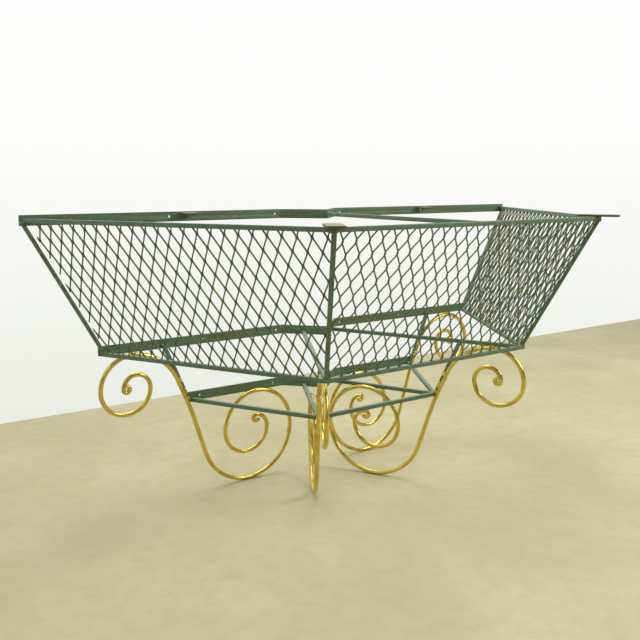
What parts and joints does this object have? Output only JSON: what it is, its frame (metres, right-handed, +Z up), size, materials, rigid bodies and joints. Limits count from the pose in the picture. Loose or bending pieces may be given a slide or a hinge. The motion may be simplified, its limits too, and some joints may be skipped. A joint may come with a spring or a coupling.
{
  "type": "wall jardiniere",
  "caption": "Half-hexagon wall planter basket of square bar and expanded metal, open at the back with a notch for a downpipe, on gilded scroll legs.",
  "frame": {"origin": "on the floor, in the middle of the overall box; the wall stands 0.368 m behind it", "axes": "+X along the wall, -Y into the room, +Z up"},
  "size_m": [1.6, 0.7358, 0.7646],
  "materials": {
    "green_paint": "weathered semi-gloss",
    "mesh_paint": "weathered, matt, with rust",
    "gold_paint": "bright gilt paint, brushed on",
    "bare_steel": "worn to rusty steel"
  },
  "bodies": {
    "root": {"back_lug_left": "bare_steel", "back_lug_right": "bare_steel", "basket_back_bar_left": "green_paint", "basket_back_bar_right": "green_paint", "basket_cross_bar_left": "green_paint", "basket_cross_bar_right": "green_paint", "basket_rail_front": "green_paint", "basket_rail_left": "green_paint", "basket_rail_right": "green_paint", "braze_beads": "gold_paint", "corner_post_front_left": "green_paint", "corner_post_front_right": "green_paint", "corner_post_left": "green_paint", "corner_post_right": "green_paint", "mesh_front": "mesh_paint", "mesh_left": "mesh_paint", "mesh_right": "mesh_paint", "plinth_back_bar_left": "green_paint", "plinth_back_bar_right": "green_paint", "plinth_cross_bar_left": "green_paint", "plinth_cross_bar_right": "green_paint", "plinth_rail_front": "green_paint", "plinth_rail_left": "green_paint", "plinth_rail_right": "green_paint", "rim_back_bar_left": "green_paint", "rim_back_bar_right": "green_paint", "rim_cross_bar": "green_paint", "rim_lug_front_left": "bare_steel", "rim_lug_front_right": "bare_steel", "rim_rail_front": "green_paint", "rim_rail_left": "green_paint", "rim_rail_right": "green_paint", "scroll_front_left": "gold_paint", "scroll_front_right": "gold_paint", "scroll_left": "gold_paint", "scroll_right": "gold_paint", "strut_front_left": "green_paint", "strut_front_right": "green_paint", "strut_left": "green_paint", "strut_right": "green_paint"}
  },
  "joints": []
}
